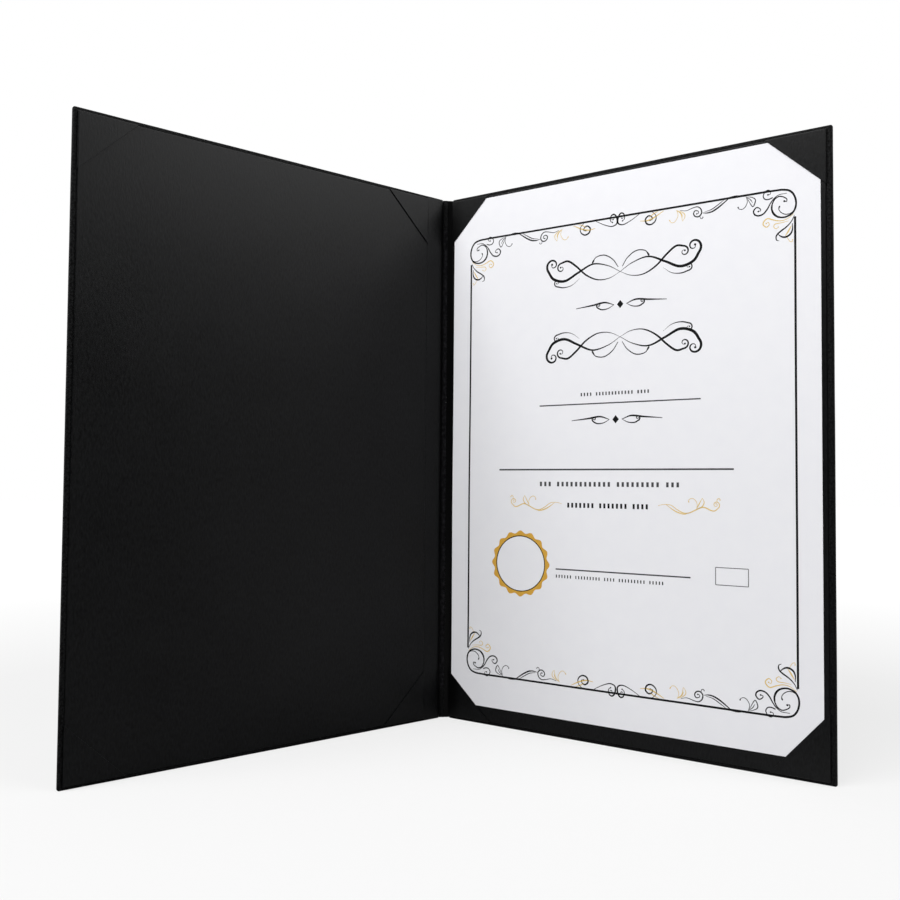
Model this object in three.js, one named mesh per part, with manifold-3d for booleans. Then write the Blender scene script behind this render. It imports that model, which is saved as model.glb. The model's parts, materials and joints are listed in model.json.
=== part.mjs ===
// Certificate folder for one A4 sheet. Two leatherette-covered boards bend on a narrow spine.
// Each board is lined inside with a faced card that carries four triangular corner pockets.
// The folder stands on its bottom edges, open to a V, with a certificate in the back cover.
// Millimetres. +Z runs up the spine, the V opens towards -Y and the back cover is on the +X side.
// The origin is the middle of the footprint.
import * as THREE from 'three';
import { mergeVertices } from 'three/addons/utils/BufferGeometryUtils.js';
import Module from 'manifold-3d';

// Certificate sheet, A4, and its free play inside the back cover's pockets
const SHEET_WIDTH = 210;
const SHEET_HEIGHT = 297;
const SHEET_THICKNESS = 0.2;
const HINGE_PLAY = 1.6;
const FORE_PLAY = 2.05;
const HEAD_PLAY = 0.55;
const TAIL_PLAY = 7.65;

// Thicknesses of the layers in a cover, from the outside in
const WRAP_THICKNESS = 0.4;
const BOARD_THICKNESS = 1.8;
const LINER_THICKNESS = 0.4;
const FACING_THICKNESS = 0.15;
const POCKET_THICKNESS = 0.25;

// Leatherette: its turned-in edges, and the rounding of the covers' edges and corners
const TURN_IN = 15;
const SPINE_TURN_IN = 17.5;
const EDGE_ROUND = 0.5;
const CORNER_ROUND = 0.8;
const EDGE_STEPS = 3;
const CORNER_STEPS = 3;

// Places along a cover, measured from the line where it bends
const HINGE_SLIT = 0.3;
const HINGE_SETBACK = 0.95;
const FRONT_LINER_SETBACK = 12.7;
const LINER_MARGIN = 1.9;

// Strip that lines the inside of the spine
const SPINE_LINING_WIDTH = 3;
const SPINE_LINING_THICKNESS = 0.3;

// Corner pockets: length along the head or tail edge, and down the side
const FRONT_POCKET_ALONG = 28;
const FRONT_POCKET_DOWN = 27;
const BACK_HEAD_HINGE_ALONG = 25.3;
const BACK_HEAD_HINGE_DOWN = 26.2;
const BACK_HEAD_FORE_ALONG = 29.1;
const BACK_HEAD_FORE_DOWN = 26.8;
const BACK_TAIL_HINGE_ALONG = 28.2;
const BACK_TAIL_HINGE_DOWN = 26.3;
const BACK_TAIL_FORE_ALONG = 28.2;
const BACK_TAIL_FORE_DOWN = 32.1;

// Clearances: glue line between layers, sheet in its slot, and between the covers when shut
const GLUE = 0.06;
const SHEET_CLEARANCE = 0.06;
const CLOSED_GAP = 0.3;

// Angle of each cover from its shut position, in the standing pose
const COVER_ANGLE = THREE.MathUtils.degToRad(53.25);

// Depths of the layers, inwards from the middle of the leatherette at the bending line
const WRAP_INNER = WRAP_THICKNESS / 2;
const WRAP_OUTER = -WRAP_THICKNESS / 2;
const BOARD_OUTER = WRAP_INNER + GLUE;
const BOARD_INNER = BOARD_OUTER + BOARD_THICKNESS;
const TURN_OUTER = BOARD_INNER + GLUE;
const TURN_INNER = TURN_OUTER + WRAP_THICKNESS;
const LINER_OUTER = TURN_INNER + GLUE;
const LINER_INNER = LINER_OUTER + LINER_THICKNESS;
const FACING_OUTER = LINER_INNER + GLUE;
const FACING_INNER = FACING_OUTER + FACING_THICKNESS;
const SHEET_OUTER = FACING_INNER + SHEET_CLEARANCE;
const SHEET_INNER = SHEET_OUTER + SHEET_THICKNESS;
const POCKET_OUTER = SHEET_INNER + SHEET_CLEARANCE;
const POCKET_INNER = POCKET_OUTER + POCKET_THICKNESS;

// Sizes that follow from the sheet and the layers
const POCKET_SPAN_WIDTH = 2 * POCKET_THICKNESS + HINGE_PLAY + SHEET_WIDTH + FORE_PLAY;
const POCKET_SPAN_HEIGHT = 2 * POCKET_THICKNESS + TAIL_PLAY + SHEET_HEIGHT + HEAD_PLAY;
const COVER_WIDTH = HINGE_SETBACK + POCKET_SPAN_WIDTH + LINER_MARGIN;
const COVER_HEIGHT = LINER_MARGIN + POCKET_SPAN_HEIGHT + LINER_MARGIN;
const SPINE_WIDTH = 2 * POCKET_INNER + CLOSED_GAP;
const FORE_LINE = COVER_WIDTH - LINER_MARGIN;
const HEAD_LINE = COVER_HEIGHT - LINER_MARGIN;
const TAIL_LINE = LINER_MARGIN;
const LINER_INSET = POCKET_THICKNESS + GLUE;

// A cutter runs this far past the material that it removes
const CUT_OVERRUN = 1;

// The back cover reaches along +X from its bending line, the front cover along -X
const BACK = 1;
const FRONT = -1;

const wasm = await Module();
wasm.setup();

function material(color, roughness) {
  return new THREE.MeshStandardMaterial({ color, roughness, metalness: 0 });
}

const leatherette = material(0x1b1c1e, 0.5);
const greyboard = material(0x8c867c, 0.9);
const liningCloth = material(0x262629, 0.85);
const linerCard = material(0x232425, 0.8);
const leatherPaper = material(0x1e1f21, 0.55);
const pocketPaper = material(0x202123, 0.5);
const certificatePaper = material(0xf1f1f4, 0.7);

// Rectangle or polygon in the plane of a cover, given as points along the cover and up
function outline(points, side) {
  return new THREE.Shape(points.map(([along, up]) => new THREE.Vector2(side * along, up)));
}

function rectangle(alongLow, alongHigh, upLow, upHigh) {
  return [[alongLow, upLow], [alongHigh, upLow], [alongHigh, upHigh], [alongLow, upHigh]];
}

// Turns a shape drawn in the plane of a cover into a layer between two depths
function layer(shape, outer, inner, options = {}) {
  const depth = inner - outer;
  const geometry = new THREE.ExtrudeGeometry(shape, { depth, bevelEnabled: false, ...options });
  geometry.rotateX(Math.PI / 2);
  geometry.translate(0, -outer, 0);
  return geometry;
}

function slab(side, alongLow, alongHigh, upLow, upHigh, outer, inner) {
  return layer(outline(rectangle(alongLow, alongHigh, upLow, upHigh), side), outer, inner);
}

function toSolid(geometry) {
  const bare = geometry.clone();
  bare.deleteAttribute('normal');
  bare.deleteAttribute('uv');
  const merged = mergeVertices(bare);
  return new wasm.Manifold(new wasm.Mesh({
    numProp: 3,
    vertProperties: new Float32Array(merged.attributes.position.array),
    triVerts: new Uint32Array(merged.index.array),
  }));
}

function toGeometry(solid) {
  const { vertProperties, triVerts } = solid.getMesh();
  const geometry = new THREE.BufferGeometry();
  geometry.setAttribute('position', new THREE.BufferAttribute(vertProperties, 3));
  geometry.setIndex(new THREE.BufferAttribute(triVerts, 1));
  geometry.computeVertexNormals();
  return geometry;
}

// Cuts every one of the cutters out of a geometry
function carve(geometry, cutters) {
  const solid = cutters.reduce((left, cutter) => left.subtract(toSolid(cutter)), toSolid(geometry));
  return toGeometry(solid);
}

function addPiece(parent, name, geometry, finish) {
  const mesh = new THREE.Mesh(geometry, finish);
  mesh.name = name;
  parent.add(mesh);
}

// Rounded block that a wrapped cover fills, drawn past the bending line so that it can be cut there
function coverBlock(side) {
  const start = -COVER_WIDTH;
  const high = COVER_HEIGHT - EDGE_ROUND;
  const fore = COVER_WIDTH - EDGE_ROUND;
  const low = EDGE_ROUND;
  const radius = CORNER_ROUND;
  const shape = new THREE.Shape();
  shape.moveTo(side * start, low);
  shape.lineTo(side * (fore - radius), low);
  shape.quadraticCurveTo(side * fore, low, side * fore, low + radius);
  shape.lineTo(side * fore, high - radius);
  shape.quadraticCurveTo(side * fore, high, side * (fore - radius), high);
  shape.lineTo(side * start, high);
  shape.closePath();
  return layer(shape, WRAP_OUTER + EDGE_ROUND, TURN_INNER - EDGE_ROUND, {
    bevelEnabled: true,
    bevelSize: EDGE_ROUND,
    bevelThickness: EDGE_ROUND,
    bevelSegments: EDGE_STEPS,
    curveSegments: CORNER_STEPS,
  });
}

// Leatherette of one cover: outer face, three folded edges and their turn-ins
function coverWrap(side) {
  const past = -2 * COVER_WIDTH;
  const inside = TURN_INNER + CUT_OVERRUN;
  const outside = WRAP_OUTER - CUT_OVERRUN;
  const over = COVER_HEIGHT + CUT_OVERRUN;
  return carve(coverBlock(side), [
    slab(side, past, HINGE_SLIT, -CUT_OVERRUN, over, outside, inside),
    slab(side, past, HINGE_SETBACK, -CUT_OVERRUN, over, WRAP_INNER, inside),
    slab(side, past, COVER_WIDTH - WRAP_THICKNESS, WRAP_THICKNESS, COVER_HEIGHT - WRAP_THICKNESS, WRAP_INNER, TURN_OUTER),
    slab(side, past, COVER_WIDTH - TURN_IN, TURN_IN, COVER_HEIGHT - TURN_IN, WRAP_INNER, inside),
  ]);
}

// Board inside the leatherette
function coverBoard(side) {
  const edge = WRAP_THICKNESS + GLUE;
  return slab(side, HINGE_SETBACK, COVER_WIDTH - edge, edge, COVER_HEIGHT - edge, BOARD_OUTER, BOARD_INNER);
}

// Card and its facing lie inside the pockets' folded edges
function linedLayer(side, setback, outer, inner) {
  const low = TAIL_LINE + LINER_INSET;
  const high = HEAD_LINE - LINER_INSET;
  return slab(side, setback + LINER_INSET, FORE_LINE - LINER_INSET, low, high, outer, inner);
}

// Triangular pocket with its square corner at the given place, folded down over the card's two edges.
// alongSign and upSign point from the corner into the card.
function pocket(side, cornerAlong, cornerUp, alongSign, upSign, along, down) {
  const tip = [cornerAlong + alongSign * along, cornerUp];
  const foot = [cornerAlong, cornerUp + upSign * down];
  const block = layer(outline([[cornerAlong, cornerUp], tip, foot], side), LINER_OUTER, POCKET_INNER);
  const innerAlong = cornerAlong + alongSign * POCKET_THICKNESS;
  const innerUp = cornerUp + upSign * POCKET_THICKNESS;
  const farAlong = cornerAlong + alongSign * (along + down);
  const farUp = cornerUp + upSign * (along + down);
  const space = outline([[innerAlong, innerUp], [farAlong, innerUp], [farAlong, farUp], [innerAlong, farUp]], side);
  return carve(block, [layer(space, LINER_OUTER - CUT_OVERRUN, POCKET_OUTER)]);
}

// Leatherette over the spine, folded in at the head and the tail
function spineWrap() {
  const half = SPINE_WIDTH / 2 - HINGE_SLIT;
  const flap = SPINE_LINING_WIDTH / 2;
  const flapOuter = WRAP_INNER + GLUE;
  const flapInner = flapOuter + WRAP_THICKNESS;
  const high = COVER_HEIGHT - SPINE_TURN_IN;
  const sheet = toSolid(slab(BACK, -half, half, 0, COVER_HEIGHT, WRAP_OUTER, WRAP_INNER));
  const folds = [
    slab(BACK, -flap, flap, 0, WRAP_THICKNESS, 0, flapInner),
    slab(BACK, -flap, flap, 0, SPINE_TURN_IN, flapOuter, flapInner),
    slab(BACK, -flap, flap, COVER_HEIGHT - WRAP_THICKNESS, COVER_HEIGHT, 0, flapInner),
    slab(BACK, -flap, flap, high, COVER_HEIGHT, flapOuter, flapInner),
  ];
  return toGeometry(folds.reduce((joined, fold) => joined.add(toSolid(fold)), sheet));
}

function spineLining() {
  const half = SPINE_LINING_WIDTH / 2;
  const outer = WRAP_INNER + GLUE;
  const low = SPINE_TURN_IN + GLUE;
  const high = COVER_HEIGHT - SPINE_TURN_IN - GLUE;
  return slab(BACK, -half, half, low, high, outer, outer + SPINE_LINING_THICKNESS);
}

// Band of lining beside the spine on the front cover, up to the edge of the front liner
function frontHingeLining() {
  const low = TAIL_LINE + LINER_INSET;
  const high = HEAD_LINE - LINER_INSET;
  return slab(FRONT, HINGE_SETBACK, FRONT_LINER_SETBACK - GLUE, low, high, LINER_OUTER, LINER_INNER);
}

function certificateSheet() {
  const along = HINGE_SETBACK + POCKET_THICKNESS + HINGE_PLAY;
  const up = TAIL_LINE + POCKET_THICKNESS + TAIL_PLAY;
  return slab(BACK, along, along + SHEET_WIDTH, up, up + SHEET_HEIGHT, SHEET_OUTER, SHEET_INNER);
}

const folder = new THREE.Group();
const pose = new THREE.Group();
folder.add(pose);

const openTurn = Math.PI / 2 - COVER_ANGLE;

const backCover = new THREE.Group();
backCover.position.set(SPINE_WIDTH / 2, 0, 0);
backCover.rotation.z = -openTurn;
pose.add(backCover);

const frontCover = new THREE.Group();
frontCover.position.set(-SPINE_WIDTH / 2, 0, 0);
frontCover.rotation.z = openTurn;
pose.add(frontCover);

addPiece(pose, 'spine_wrap', spineWrap(), leatherette);
addPiece(pose, 'spine_lining', spineLining(), liningCloth);

addPiece(backCover, 'back_wrap', coverWrap(BACK), leatherette);
addPiece(backCover, 'back_board', coverBoard(BACK), greyboard);
addPiece(backCover, 'back_liner', linedLayer(BACK, HINGE_SETBACK, LINER_OUTER, LINER_INNER), linerCard);
addPiece(backCover, 'back_facing', linedLayer(BACK, HINGE_SETBACK, FACING_OUTER, FACING_INNER), leatherPaper);

addPiece(frontCover, 'front_wrap', coverWrap(FRONT), leatherette);
addPiece(frontCover, 'front_board', coverBoard(FRONT), greyboard);
addPiece(frontCover, 'front_hinge_lining', frontHingeLining(), leatherPaper);
addPiece(frontCover, 'front_liner', linedLayer(FRONT, FRONT_LINER_SETBACK, LINER_OUTER, LINER_INNER), linerCard);
addPiece(frontCover, 'front_facing', linedLayer(FRONT, FRONT_LINER_SETBACK, FACING_OUTER, FACING_INNER), leatherPaper);

const backPockets = [
  ['head_hinge', HINGE_SETBACK, HEAD_LINE, 1, -1, BACK_HEAD_HINGE_ALONG, BACK_HEAD_HINGE_DOWN],
  ['head_fore', FORE_LINE, HEAD_LINE, -1, -1, BACK_HEAD_FORE_ALONG, BACK_HEAD_FORE_DOWN],
  ['tail_hinge', HINGE_SETBACK, TAIL_LINE, 1, 1, BACK_TAIL_HINGE_ALONG, BACK_TAIL_HINGE_DOWN],
  ['tail_fore', FORE_LINE, TAIL_LINE, -1, 1, BACK_TAIL_FORE_ALONG, BACK_TAIL_FORE_DOWN],
];
for (const [place, ...sizes] of backPockets) {
  addPiece(backCover, `back_pocket_${place}`, pocket(BACK, ...sizes), pocketPaper);
}

const frontPockets = [
  ['head_hinge', FRONT_LINER_SETBACK, HEAD_LINE, 1, -1],
  ['head_fore', FORE_LINE, HEAD_LINE, -1, -1],
  ['tail_hinge', FRONT_LINER_SETBACK, TAIL_LINE, 1, 1],
  ['tail_fore', FORE_LINE, TAIL_LINE, -1, 1],
];
for (const [place, ...corner] of frontPockets) {
  const solid = pocket(FRONT, ...corner, FRONT_POCKET_ALONG, FRONT_POCKET_DOWN);
  addPiece(frontCover, `front_pocket_${place}`, solid, pocketPaper);
}

addPiece(backCover, 'certificate', certificateSheet(), certificatePaper);

// The origin is the middle of the footprint of the standing folder
const footprint = new THREE.Box3().setFromObject(folder, true);
pose.position.y = -(footprint.min.y + footprint.max.y) / 2;

export default folder;
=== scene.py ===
"""Black leatherette certificate folder, standing open, with a printed sheet in its back cover."""

from __future__ import annotations

import json
import logging
import math
from contextlib import contextmanager
from dataclasses import dataclass, field
from enum import Enum
from typing import Any, Callable, Iterator, Sequence

import bmesh
import bpy
from mathutils import Matrix, Vector

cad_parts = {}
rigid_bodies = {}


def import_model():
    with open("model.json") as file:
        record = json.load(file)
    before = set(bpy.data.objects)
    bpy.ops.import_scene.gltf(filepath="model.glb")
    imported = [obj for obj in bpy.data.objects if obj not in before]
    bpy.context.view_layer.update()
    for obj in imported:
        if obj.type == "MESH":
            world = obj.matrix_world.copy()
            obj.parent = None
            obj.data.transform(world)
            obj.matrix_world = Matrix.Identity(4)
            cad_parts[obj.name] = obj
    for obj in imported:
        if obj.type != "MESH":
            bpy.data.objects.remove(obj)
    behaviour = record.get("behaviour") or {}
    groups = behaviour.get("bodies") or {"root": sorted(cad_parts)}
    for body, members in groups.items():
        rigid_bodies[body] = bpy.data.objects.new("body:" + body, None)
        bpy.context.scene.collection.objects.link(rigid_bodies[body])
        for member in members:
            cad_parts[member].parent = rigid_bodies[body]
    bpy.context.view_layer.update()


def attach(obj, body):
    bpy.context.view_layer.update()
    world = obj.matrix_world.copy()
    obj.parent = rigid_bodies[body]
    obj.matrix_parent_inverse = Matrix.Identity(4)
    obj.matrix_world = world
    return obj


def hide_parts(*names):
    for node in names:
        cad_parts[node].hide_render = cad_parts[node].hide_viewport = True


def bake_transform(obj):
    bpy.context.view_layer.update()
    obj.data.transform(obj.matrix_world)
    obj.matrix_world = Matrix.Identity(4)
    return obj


LOG = logging.getLogger("certificate_folder")
MM = 0.001
NEAR = 0.01 * MM  # places closer than this count as one
CRISP = 40.0  # degrees
UPRIGHT = (math.pi / 2, 0.0, 0.0)  # the turn that stands a flat shape up
WAVE_BANDS = 3.14  # a wave texture's bands in a unit at scale 1
GRAIN_MAP = "grain"

Point = tuple[float, float]
Spot = tuple[float, float, float]
Colour = tuple[float, float, float, float]
Piece = bpy.types.Object
Edge = bmesh.types.BMEdge
Number = Any  # a float or a Shade


class Part(Enum):
    """What a selection holds: the mesh's list of it and the operators' word for it."""

    POINT = ("verts", "VERT")
    EDGE = ("edges", "EDGE")


class Axis(Enum):
    """The bench's directions: along a cover, through it and up it."""

    ALONG = Vector((1.0, 0.0, 0.0))
    THROUGH = Vector((0.0, 1.0, 0.0))
    UP = Vector((0.0, 0.0, 1.0))


class Side(Enum):
    """The two covers. The value is the side of the spine that the cover is on."""

    FRONT = -1
    BACK = 1

    @property
    def label(self) -> str:
        """The cover's word in piece names."""
        return self.name.lower()

    @property
    def body(self) -> str:
        """The frame's body that the cover's pieces ride on."""
        return f"{self.label}_cover"


def middle(edge: Edge) -> Vector:
    """Finds the middle of an edge."""
    return (edge.verts[0].co + edge.verts[1].co) / 2


def close(first: float, second: float) -> bool:
    """Tells whether two lengths are the same to a hundredth of a millimetre."""
    return abs(first - second) < NEAR


def evenly(low: float, high: float, count: int) -> list[float]:
    """Gives the places that part a length into equal steps."""
    return [low + (high - low) / count * index for index in range(1, count)]


class Bench:
    """Modelling moves on one piece, made with Blender's own operators."""

    def __init__(self, piece: Piece) -> None:
        """Takes a piece on the bench."""
        self.piece = piece

    @classmethod
    def made(cls, name: str, add: Callable[..., Any], size: Sequence[float], **settings: Any) -> Bench:
        """Adds a primitive of one unit, names it and gives it its size.

        Args:
            name: The piece's name.
            add: The operator that adds the primitive.
            size: The size in its own directions.
            **settings: The operator's other settings.

        Returns:
            The bench that holds it.
        """
        bpy.ops.object.select_all(action="DESELECT")
        add(size=1.0, **settings)
        bench = cls(bpy.context.object)
        bench.piece.name = bench.piece.data.name = name
        bench.piece.scale = size
        bench.settle()
        return bench

    @classmethod
    def rectangle(cls, name: str, low: Point, high: Point, depth: float) -> Bench:
        """Lays out an upright rectangle.

        Args:
            name: The piece's name.
            low: Its lowest place along the cover and up it.
            high: Its highest place along the cover and up it.
            depth: Its place through the cover.

        Returns:
            The bench that holds it.
        """
        spot = ((low[0] + high[0]) / 2, depth, (low[1] + high[1]) / 2)
        size = (high[0] - low[0], high[1] - low[1], 1.0)
        return cls.made(name, bpy.ops.mesh.primitive_plane_add, size, location=spot, rotation=UPRIGHT)

    @classmethod
    def block(cls, name: str, low: Vector, high: Vector) -> Bench:
        """Lays out a block between two corners."""
        return cls.made(name, bpy.ops.mesh.primitive_cube_add, high - low, location=(low + high) / 2)

    def settle(self) -> None:
        """Puts the piece's place, turn and scale into its mesh."""
        bpy.ops.object.transform_apply(location=True, rotation=True, scale=True)

    def hold(self) -> None:
        """Selects this piece alone."""
        bpy.ops.object.select_all(action="DESELECT")
        self.piece.select_set(True)
        bpy.context.view_layer.objects.active = self.piece

    @contextmanager
    def editing(self) -> Iterator[None]:
        """Opens the piece in edit mode for a while."""
        self.hold()
        bpy.ops.object.mode_set(mode="EDIT")
        yield
        bpy.ops.object.mode_set(mode="OBJECT")

    def pick(self, part: Part, test: Callable[[Any], bool]) -> None:
        """Selects what passes a test.

        Args:
            part: What is selected.
            test: The test on each element.
        """
        listing, word = part.value
        bpy.ops.mesh.select_mode(type=word)
        bpy.ops.mesh.select_all(action="DESELECT")
        mesh = bmesh.from_edit_mesh(self.piece.data)
        for item in [item for item in getattr(mesh, listing) if test(item)]:
            item.select_set(True)
        bmesh.update_edit_mesh(self.piece.data)

    def picked_points(self) -> set[int]:
        """Finds the points that are selected now.

        Returns:
            Their numbers.
        """
        mesh = bmesh.from_edit_mesh(self.piece.data)
        mesh.verts.index_update()
        return {point.index for point in mesh.verts if point.select}

    def extrude(self, by: Sequence[float]) -> None:
        """Draws the selection out by a step."""
        bpy.ops.mesh.extrude_region_move(TRANSFORM_OT_translate={"value": tuple(by)})

    def shift(self, by: Sequence[float], reach: float = 0.0) -> None:
        """Moves the selection.

        Args:
            by: The step.
            reach: How far the pull fades out round the selection, or 0 for none.
        """
        bpy.ops.transform.translate(
            value=tuple(by),
            use_proportional_edit=reach > 0.0,
            proportional_edit_falloff="SMOOTH",
            proportional_size=max(reach, NEAR),
        )

    def round_off(self, radius: float, steps: int) -> None:
        """Rounds the selected edges."""
        bpy.ops.mesh.bevel(offset=radius, offset_type="OFFSET", segments=steps, affect="EDGES", clamp_overlap=True)

    def divide(self, axis: Axis, places: Sequence[float]) -> None:
        """Cuts the whole mesh across an axis, with nothing removed.

        Args:
            axis: The axis.
            places: The cuts' places on it.
        """
        for place in places:
            bpy.ops.mesh.select_all(action="SELECT")
            bpy.ops.mesh.bisect(plane_co=axis.value * place, plane_no=axis.value)

    def cut_away(self, spot: Vector, towards: Vector) -> None:
        """Cuts the whole mesh at a plane and removes what lies beyond it."""
        bpy.ops.mesh.select_all(action="SELECT")
        bpy.ops.mesh.bisect(plane_co=spot, plane_no=towards, clear_outer=True)

    def modify(self, kind: str, **settings: Any) -> None:
        """Adds a modifier and applies it.

        Args:
            kind: The modifier's type.
            **settings: Its settings.
        """
        self.hold()
        modifier = self.piece.modifiers.new(kind.title(), kind)
        for key, value in settings.items():
            setattr(modifier, key, value)
        bpy.ops.object.modifier_apply(modifier=modifier.name)

    def uneven(self, depth: float, reach: float) -> None:
        """Gives the surface the slight unevenness of a glued sheet.

        Args:
            depth: How far it moves in all.
            reach: The width of a swell.
        """
        clouds = bpy.data.textures.new(f"{self.piece.name}_swell", "CLOUDS")
        clouds.noise_scale = reach
        self.modify("DISPLACE", texture=clouds, texture_coords="LOCAL", strength=depth, mid_level=0.5)

    def thicken(self, thickness: float) -> None:
        """Gives a sheet its thickness, half to each side."""
        self.modify("SOLIDIFY", thickness=thickness, offset=0.0, use_even_offset=True)
        self.face_out()

    def face_out(self) -> None:
        """Points the mesh's faces outwards."""
        with self.editing():
            bpy.ops.mesh.select_all(action="SELECT")
            bpy.ops.mesh.normals_make_consistent(inside=False)

    def place(self, turn: float, spot: Vector) -> None:
        """Turns the piece about the upright axis and moves it, in its mesh.

        Args:
            turn: The turn.
            spot: The step.
        """
        self.hold()
        self.piece.rotation_euler = (0.0, 0.0, turn)
        self.piece.location = spot
        self.settle()

    def map_grain(self, flat: Callable[[Vector], Point]) -> None:
        """Writes the map that a grain follows.

        Args:
            flat: Gives a point's place on the flat material, in millimetres.
        """
        mesh = self.piece.data
        for old in list(mesh.uv_layers):
            mesh.uv_layers.remove(old)
        layer = mesh.uv_layers.new(name=GRAIN_MAP)
        spots = [flat(point.co) for point in mesh.vertices]
        for corner, entry in zip(mesh.loops, layer.data):
            entry.uv = spots[corner.vertex_index]

    def dress(self, finish: Finish, angle: float) -> Piece:
        """Puts a finish on the piece and smooths its shading.

        Args:
            finish: The finish.
            angle: Edges sharper than this, in degrees, stay crisp.

        Returns:
            The finished piece.
        """
        self.hold()
        bpy.ops.object.shade_smooth_by_angle(angle=math.radians(angle))
        self.piece.data.materials.clear()
        self.piece.data.materials.append(finish.material())
        return self.piece


class Shade:
    """A value in a finish. Python's operators on it add the finish's Math nodes."""

    def __init__(self, recipe: Recipe, socket: bpy.types.NodeSocket) -> None:
        """Wraps a socket."""
        self.recipe = recipe
        self.socket = socket

    def _maths(self, operation: str, first: Number, second: Number) -> Shade:
        """Adds one Math node."""
        return self.recipe.node("ShaderNodeMath", {"operation": operation}, {0: first, 1: second})

    def __add__(self, other: Number) -> Shade:
        """Adds a number or value."""
        return self._maths("ADD", self, other)

    def __sub__(self, other: Number) -> Shade:
        """Takes away a number or value."""
        return self._maths("SUBTRACT", self, other)

    def __rsub__(self, other: Number) -> Shade:
        """Is taken away from a number."""
        return self._maths("SUBTRACT", other, self)

    def __mul__(self, other: Number) -> Shade:
        """Multiplies by a number or value."""
        return self._maths("MULTIPLY", self, other)

    def __pow__(self, other: Number) -> Shade:
        """Raises to a power."""
        return self._maths("POWER", self, other)

    def larger(self, other: Number) -> Shade:
        """Gives the larger of two values."""
        return self._maths("MAXIMUM", self, other)

    __radd__ = __add__
    __rmul__ = __mul__


class Recipe:
    """The nodes of one finish or of the world."""

    def __init__(self, tree: bpy.types.NodeTree) -> None:
        """Starts with an empty node tree."""
        self.tree = tree
        tree.nodes.clear()

    def node(
        self,
        kind: str,
        settings: dict[str, Any] | None = None,
        sockets: dict[int | str, Any] | None = None,
        out: int | str = 0,
    ) -> Shade:
        """Adds a node.

        Args:
            kind: The node's type.
            settings: Its settings, set first.
            sockets: Values or links of its input sockets.
            out: The output that is wanted.

        Returns:
            That output.
        """
        made = self.tree.nodes.new(kind)
        for key, value in (settings or {}).items():
            setattr(made, key, value)
        for key, value in (sockets or {}).items():
            if isinstance(value, Shade):
                self.tree.links.new(value.socket, made.inputs[key])
            else:
                made.inputs[key].default_value = value
        return Shade(self, made.outputs[out])

    def flat(self) -> Shade:
        """Gives the place on the flat material, in millimetres."""
        return self.node("ShaderNodeUVMap", {"uv_map": GRAIN_MAP})

    def place(self, kind: str) -> Shade:
        """Gives one of the kinds of coordinates that Blender makes."""
        return self.node("ShaderNodeTexCoord", None, None, kind)

    def ray(self, kind: str) -> Shade:
        """Tells whether light is followed along one kind of ray."""
        return self.node("ShaderNodeLightPath", None, None, f"Is {kind} Ray")

    def vector(self, operation: str, out: str, *spots: Any) -> Shade:
        """Adds one Vector Math node."""
        return self.node("ShaderNodeVectorMath", {"operation": operation}, dict(enumerate(spots)), out)

    def turned(self, spot: Shade, angle: float, stretch: Sequence[float]) -> Shade:
        """Turns a pattern's coordinates by an angle in degrees and stretches them."""
        turn = (0.0, 0.0, math.radians(angle))
        return self.node("ShaderNodeMapping", None, {"Vector": spot, "Rotation": turn, "Scale": tuple(stretch)})

    def noise(self, spot: Shade, scale: float, detail: float = 2.0) -> Shade:
        """Gives soft noise of about 0 to 1, with so many swells in a unit and so many finer layers."""
        return self.node("ShaderNodeTexNoise", None, {"Vector": spot, "Scale": scale, "Detail": detail})

    def ramp(self, value: Shade, source: Point, goal: Point = (0.0, 1.0), soft: bool = False) -> Shade:
        """Maps a range of values on another.

        Args:
            value: The value.
            source: The range's ends.
            goal: What they become.
            soft: Whether the ramp eases in and out.

        Returns:
            The mapped value.
        """
        settings = {"interpolation_type": "SMOOTHSTEP" if soft else "LINEAR"}
        return self.node("ShaderNodeMapRange", settings, dict(enumerate((value, *source, *goal))))

    def mixed(self, share: Number, first: Any, second: Any) -> Shade:
        """Mixes two colours by the second one's share."""
        settings = {"data_type": "RGBA", "clamp_factor": True}
        return self.node("ShaderNodeMix", settings, {0: share, 6: first, 7: second}, 2)

    def bumped(self, height: Shade, depth: float) -> Shade:
        """Turns a height into a surface direction."""
        return self.node("ShaderNodeBump", None, {"Height": height, "Distance": depth, "Strength": 1.0}, "Normal")

    def surface(self, colour: Shade, rough: Number, level: float, normal: Shade | None = None) -> None:
        """Ends a material with its shader.

        Args:
            colour: Its colour.
            rough: Its roughness.
            level: How strongly it mirrors.
            normal: Its surface direction, where it has relief.
        """
        sockets = {"Base Color": colour, "Roughness": rough, "Specular IOR Level": level}
        if normal is not None:
            sockets["Normal"] = normal
        self.end("Material", self.node("ShaderNodeBsdfPrincipled", None, sockets))

    def end(self, kind: str, shader: Shade) -> None:
        """Ends the tree of a material or world with its output node."""
        made = self.tree.nodes.new(f"ShaderNodeOutput{kind}")
        self.tree.links.new(shader.socket, made.inputs["Surface"])


def grey(level: float) -> Colour:
    """Gives a neutral colour."""
    return (level, level, level, 1.0)


@dataclass(frozen=True)
class Finish:
    """A material that is made once and shared by the pieces that have it."""

    name: str

    def material(self) -> bpy.types.Material:
        """Makes the material, or finds the one that exists.

        Returns:
            The material.
        """
        found = bpy.data.materials.get(self.name)
        if found is not None:
            return found
        made = bpy.data.materials.new(self.name)
        made.use_nodes = True
        self.mix(Recipe(made.node_tree))
        return made

    def mix(self, recipe: Recipe) -> None:
        """Lays out the material's nodes."""
        raise NotImplementedError


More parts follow.
